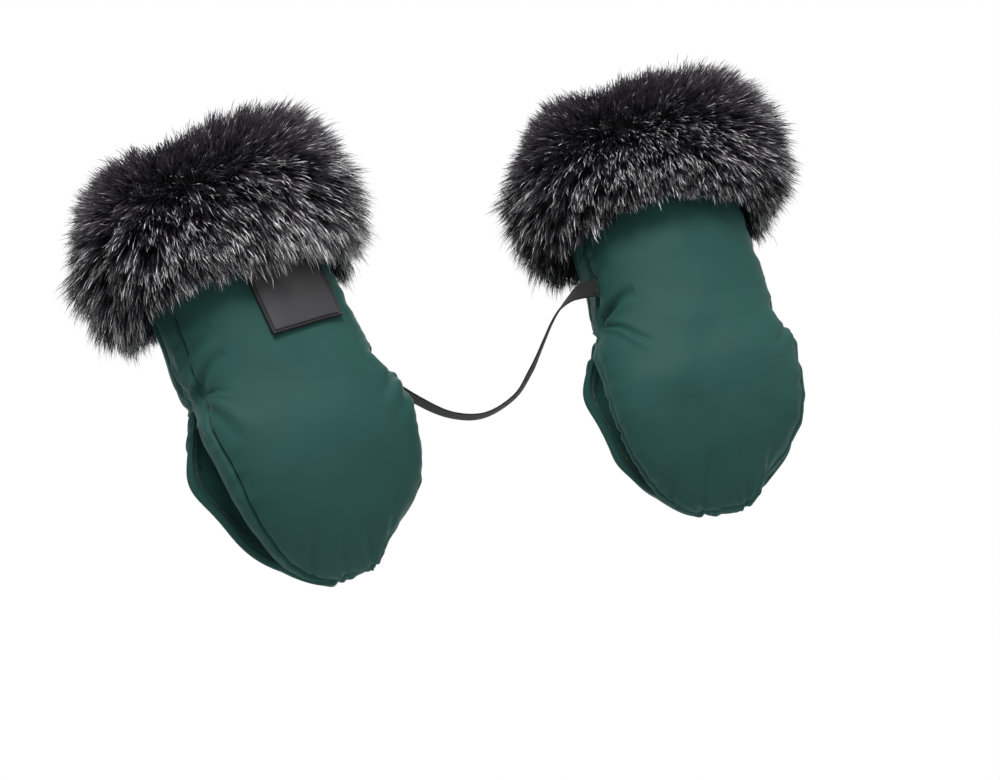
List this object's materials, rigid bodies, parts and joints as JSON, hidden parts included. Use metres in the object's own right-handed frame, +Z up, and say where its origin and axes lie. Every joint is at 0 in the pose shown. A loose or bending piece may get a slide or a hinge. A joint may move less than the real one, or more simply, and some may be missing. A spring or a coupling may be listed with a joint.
{
  "type": "stroller hand muff pair",
  "caption": "Padded mitten-shaped hand muffs with fur cuffs for a stroller handlebar, open at both sides for the bar, with a hinged back flap and a strap between them.",
  "frame": {"origin": "a point on the stroller handlebar's axis, midway between the two muffs", "axes": "+X along the handlebar from the muff with the label to the other, +Z up towards the fur cuffs, +Y away from the user's side that carries the label"},
  "size_m": [0.479, 0.1599, 0.29],
  "materials": {
    "shell_cloth": "satin matte water-repellent polyester",
    "wadding": "soft fibre fill",
    "lining_fleece": "napped fleece",
    "fur_backing": "knit",
    "fur_pile": "long dark pile with silvery tips",
    "loop_tape": "brushed loops",
    "hook_tape": "woven tape with hooks",
    "thread": "twisted polyester",
    "label_rubber": "matte moulded",
    "strap_webbing": "flat woven"
  },
  "bodies": {
    "left_muff": {"left_front_panel": "shell_cloth", "left_outer_gusset": "shell_cloth", "left_inner_gusset": "shell_cloth", "left_front_wadding": "wadding", "left_front_lining": "lining_fleece", "left_back_panel": "shell_cloth", "left_back_wadding": "wadding", "left_back_lining": "lining_fleece", "left_fur_backing": "fur_backing", "left_fur_pile": "fur_pile", "left_loop_tape": "loop_tape", "left_outer_bar_tack": "thread", "left_inner_bar_tack": "thread", "left_label_patch": "label_rubber", "link_strap": "strap_webbing"},
    "left_flap": {"left_flap_panel": "shell_cloth", "left_flap_wadding": "wadding", "left_flap_lining": "lining_fleece", "left_hook_tape": "hook_tape"},
    "right_muff": {"right_front_panel": "shell_cloth", "right_outer_gusset": "shell_cloth", "right_inner_gusset": "shell_cloth", "right_front_wadding": "wadding", "right_front_lining": "lining_fleece", "right_back_panel": "shell_cloth", "right_back_wadding": "wadding", "right_back_lining": "lining_fleece", "right_fur_backing": "fur_backing", "right_fur_pile": "fur_pile", "right_loop_tape": "loop_tape", "right_outer_bar_tack": "thread", "right_inner_bar_tack": "thread"},
    "right_flap": {"right_flap_panel": "shell_cloth", "right_flap_wadding": "wadding", "right_flap_lining": "lining_fleece", "right_hook_tape": "hook_tape"}
  },
  "joints": [
    {"name": "right_muff_swivel", "type": "hinge", "parent": "left_muff", "child": "right_muff", "pos_m": [0, 0, 0], "axis": [1, 0, 0], "range_deg": [-20, 20], "deforming": ["link_strap"]},
    {"name": "left_flap_hinge", "type": "hinge", "parent": "left_muff", "child": "left_flap", "pos_m": [-0.14133, 0.03796, 0.05458], "axis": [0.9768, 0.0407, 0.2102], "range_deg": [0, 75]},
    {"name": "right_flap_hinge", "type": "hinge", "parent": "right_muff", "child": "right_flap", "pos_m": [0.13653, 0.04186, 0.05265], "axis": [0.9845, -0.1743, -0.0209], "range_deg": [0, 75]}
  ]
}
